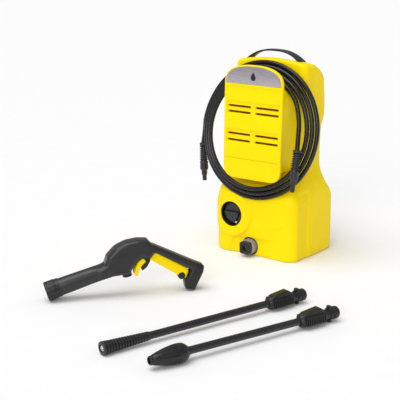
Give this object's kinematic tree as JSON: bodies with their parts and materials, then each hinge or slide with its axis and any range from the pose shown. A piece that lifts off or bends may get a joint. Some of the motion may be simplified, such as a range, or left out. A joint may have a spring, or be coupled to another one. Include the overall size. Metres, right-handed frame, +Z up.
{
  "type": "pressure washer",
  "caption": "Compact electric pressure washer with a strap handle, a front hanger holding a coiled hose, a trigger gun and two spray lances laid out before it.",
  "frame": {"origin": "centre of the machine's base, on the floor", "axes": "+Z up, -Y towards the front with the hose hanger, +X to the right seen from the front"},
  "size_m": [0.5222, 0.8063, 0.443],
  "materials": {
    "yellow": "satin moulded plastic",
    "black": "fine grained plastic",
    "dark_grey": "fine grained plastic",
    "tube": "smooth satin plastic",
    "light_grey": "satin plastic",
    "badge": "brushed, lacquered",
    "hose": "smooth satin hose jacket",
    "steel": "turned",
    "copper": "varnished windings",
    "acetal": "smooth natural plastic",
    "brass": "turned brass",
    "aluminium": "die cast"
  },
  "bodies": {
    "root": {"badge_plate": "badge", "base_plate": "black", "cable_gland": "black", "capacitor": "light_grey", "carry_handle": "black", "cylinder_head": "aluminium", "front_shell": "yellow", "gear_housing": "dark_grey", "hanger_cover": "yellow", "hose_coil": "hose", "hose_connector_left": "dark_grey", "hose_connector_right": "dark_grey", "hose_tail_left": "hose", "hose_tail_right": "hose", "inlet_coupling": "black", "inlet_pipe": "black", "motor_bearing_lower": "steel", "motor_bearing_upper": "steel", "motor_can": "steel", "motor_end_plate": "aluminium", "motor_stator": "copper", "outlet_body": "brass", "outlet_collar": "light_grey", "outlet_socket": "black", "piston_spring_1": "steel", "piston_spring_2": "steel", "piston_spring_3": "steel", "pump_block": "aluminium", "rear_shell": "yellow", "screw_1": "steel", "screw_2": "steel", "switch_bezel": "black", "switch_box": "light_grey"},
    "switch": {"switch_knob": "dark_grey"},
    "rotor": {"motor_rotor": "copper", "motor_pinion": "steel", "motor_fan": "black"},
    "wobble": {"wobble_plate": "steel", "drive_gear": "acetal"},
    "piston_a": {"piston_1": "steel"},
    "piston_b": {"piston_2": "steel"},
    "piston_c": {"piston_3": "steel"},
    "gun": {"gun_shell_left": "dark_grey", "gun_shell_right": "dark_grey", "trigger_pin": "steel", "gun_muzzle": "black", "gun_valve": "brass", "gun_hose_socket": "black", "handle_cap": "black"},
    "trigger": {"gun_trigger": "yellow"},
    "lock": {"trigger_lock": "black"},
    "release": {"hose_release": "yellow"},
    "fan_lance": {"fan_lance_coupling": "black", "fan_lance_tube": "tube", "fan_nozzle_tip": "steel"},
    "fan_sleeve": {"fan_nozzle_sleeve": "dark_grey"},
    "rotary_lance": {"rotary_lance_coupling": "black", "rotary_lance_tube": "tube", "rotary_nozzle_housing": "black"},
    "spray_rotor": {"nozzle_rotor": "brass"}
  },
  "joints": [
    {"name": "switch_turn", "type": "hinge", "parent": "root", "child": "switch", "pos_m": [-0.0565, -0.08, 0.087], "axis": [0, -1, 0], "range_deg": [0, 90]},
    {"name": "motor_spin", "type": "hinge", "parent": "root", "child": "rotor", "pos_m": [-0.016, 0.013, 0.2], "axis": [0, 0, 1], "continuous": true},
    {"name": "wobble_spin", "type": "hinge", "parent": "root", "child": "wobble", "pos_m": [0.01525, 0.013, 0.11], "axis": [0, 0, 1], "continuous": true},
    {"name": "piston_1_stroke", "type": "slide", "parent": "root", "child": "piston_a", "axis": [0, 0, -1], "range_m": [0, 0.006], "stiffness_N_per_m": 800, "springref_m": -0.002, "deforming": ["piston_spring_1"]},
    {"name": "piston_2_stroke", "type": "slide", "parent": "root", "child": "piston_b", "axis": [0, 0, -1], "range_m": [0, 0.006], "stiffness_N_per_m": 800, "springref_m": -0.002, "deforming": ["piston_spring_2"]},
    {"name": "piston_3_stroke", "type": "slide", "parent": "root", "child": "piston_c", "axis": [0, 0, -1], "range_m": [0, 0.006], "stiffness_N_per_m": 800, "springref_m": -0.002, "deforming": ["piston_spring_3"]},
    {"name": "gun_lift", "type": "slide", "parent": "root", "child": "gun", "axis": [0, 0, 1], "range_m": [0, 0.3]},
    {"name": "trigger_pull", "type": "hinge", "parent": "gun", "child": "trigger", "pos_m": [-0.02915, -0.40753, 0.089], "axis": [0.7733, -0.6341, 0], "range_deg": [0, 7], "stiffness_Nm_per_rad": 2, "springref_deg": -3.44},
    {"name": "lock_turn", "type": "hinge", "parent": "trigger", "child": "lock", "pos_m": [0.00953, -0.36036, 0.032], "axis": [0.7733, -0.6341, 0], "range_deg": [0, 60]},
    {"name": "release_press", "type": "slide", "parent": "gun", "child": "release", "axis": [-0.6341, -0.7733, 0], "range_m": [0, 0.003], "stiffness_N_per_m": 300, "springref_m": -0.002},
    {"name": "fan_lance_lift", "type": "slide", "parent": "root", "child": "fan_lance", "axis": [0, 0, 1], "range_m": [0, 0.25]},
    {"name": "fan_sleeve_twist", "type": "hinge", "parent": "fan_lance", "child": "fan_sleeve", "pos_m": [0.1051, -0.7021, 0.0125], "axis": [0.3018, 0.9534, 0.0073], "range_deg": [0, 90]},
    {"name": "rotary_lance_lift", "type": "slide", "parent": "root", "child": "rotary_lance", "axis": [0, 0, 1], "range_m": [0, 0.25]},
    {"name": "nozzle_spin", "type": "hinge", "parent": "rotary_lance", "child": "spray_rotor", "pos_m": [0.2095, -0.7031, 0.0172], "axis": [0.3193, 0.9476, -0.0037], "continuous": true}
  ],
  "couplings": [
    {"joint": "wobble_spin", "follows": "motor_spin", "ratio": -0.25}
  ]
}
